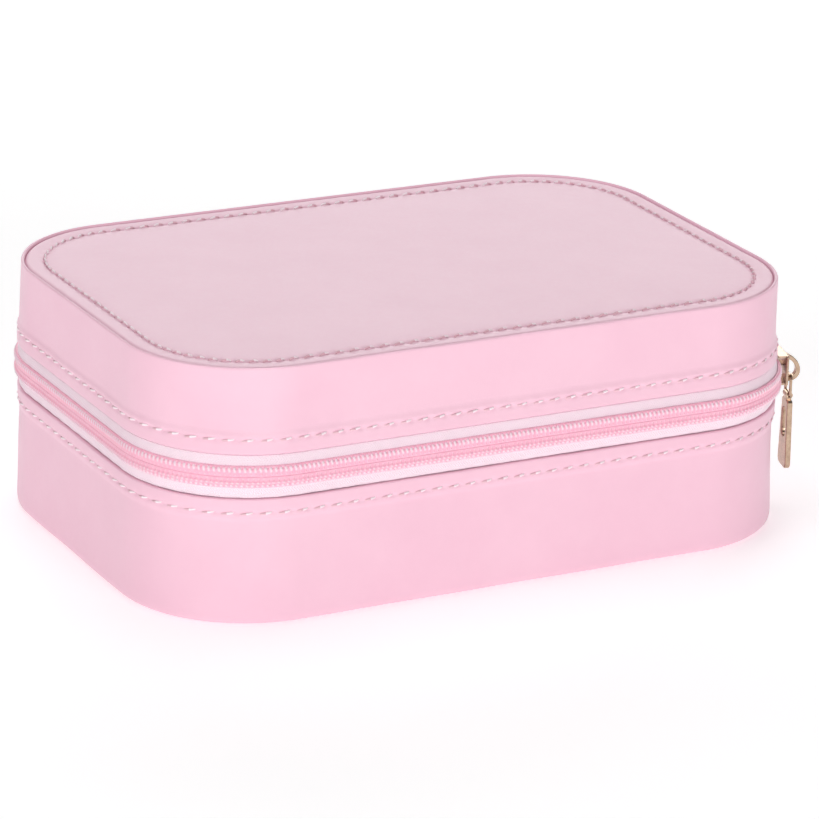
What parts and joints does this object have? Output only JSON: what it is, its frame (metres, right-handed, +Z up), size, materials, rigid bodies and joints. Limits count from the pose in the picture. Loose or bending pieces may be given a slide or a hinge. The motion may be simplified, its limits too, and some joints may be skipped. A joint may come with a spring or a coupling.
{
  "type": "zip-round jewellery case",
  "caption": "Rounded rectangular zip-round jewellery case in padded leather, hinged at the back, with ring rolls, dividers, mirror, pocket and necklace hooks.",
  "frame": {"origin": "centre of the underside, on the face the case rests on", "axes": "+X along the long side, +Y towards the hinge spine at the back, +Z up; the zip slider is at the front right corner"},
  "size_m": [0.1737, 0.1178, 0.0604],
  "materials": {
    "leather": "smooth satin coated leather with fine grain",
    "thread": "twisted polyester thread",
    "zip_tape": "herringbone woven tape",
    "zip_coil": "moulded nylon coil",
    "board": "pressed board",
    "foam": "polyurethane foam",
    "velvet": "short-pile velvet",
    "elastic": "gathered elastic",
    "mirror": "silvered glass",
    "gold": "polished pale champagne plating"
  },
  "bodies": {
    "base": {"base_frame": "board", "base_lining": "velvet", "base_wall_band": "leather", "base_bottom_panel": "leather", "base_edge_stitching": "thread", "zip_tape_lower": "zip_tape", "zip_coil_lower": "zip_coil", "zip_stop_lower_left": "gold", "zip_stop_lower_right": "gold", "hinge_spine": "leather", "hinge_lining": "velvet", "divider_main": "velvet", "divider_cross": "velvet", "divider_short": "velvet", "ring_pad": "velvet", "ring_roll_1": "velvet", "ring_roll_2": "velvet", "ring_roll_3": "velvet", "ring_roll_4": "velvet", "ring_roll_5": "velvet", "ring_roll_6": "velvet", "ring_roll_7": "velvet"},
    "lid": {"lid_frame": "board", "lid_lining": "velvet", "lid_top_foam": "foam", "lid_top_panel": "leather", "lid_wall_band": "leather", "lid_top_stitching": "thread", "lid_edge_stitching": "thread", "zip_tape_upper": "zip_tape", "zip_coil_upper": "zip_coil", "zip_stop_upper_left": "gold", "zip_stop_upper_right": "gold", "mirror": "mirror", "mirror_border": "leather", "lid_pocket": "velvet", "pocket_elastic": "elastic", "necklace_hook_1": "leather", "necklace_hook_2": "leather", "necklace_hook_3": "leather", "hook_snap_1": "gold", "hook_snap_2": "gold", "hook_snap_3": "gold"},
    "slider": {"zip_slider": "gold"},
    "link": {"pull_link": "gold"},
    "tab": {"pull_tab": "gold"}
  },
  "joints": [
    {"name": "lid_hinge", "type": "hinge", "parent": "base", "child": "lid", "pos_m": [0, 0.0591, 0.0355], "axis": [-1, 0, 0], "range_deg": [0, 105], "deforming": ["hinge_spine", "hinge_lining"]},
    {"name": "slider_travel", "type": "hinge", "parent": "base", "child": "slider", "pos_m": [0.0531, -0.02705, 0.0355], "axis": [0, 0, -1], "range_deg": [-8, 65]},
    {"name": "link_swing", "type": "hinge", "parent": "slider", "child": "link", "pos_m": [0.08608, -0.03734, 0.03355], "axis": [-0.284, -0.9588, 0], "range_deg": [-3, 85]},
    {"name": "tab_swing", "type": "hinge", "parent": "link", "child": "tab", "pos_m": [0.08608, -0.03734, 0.0285], "axis": [-0.284, -0.9588, 0], "range_deg": [-3, 85]}
  ]
}
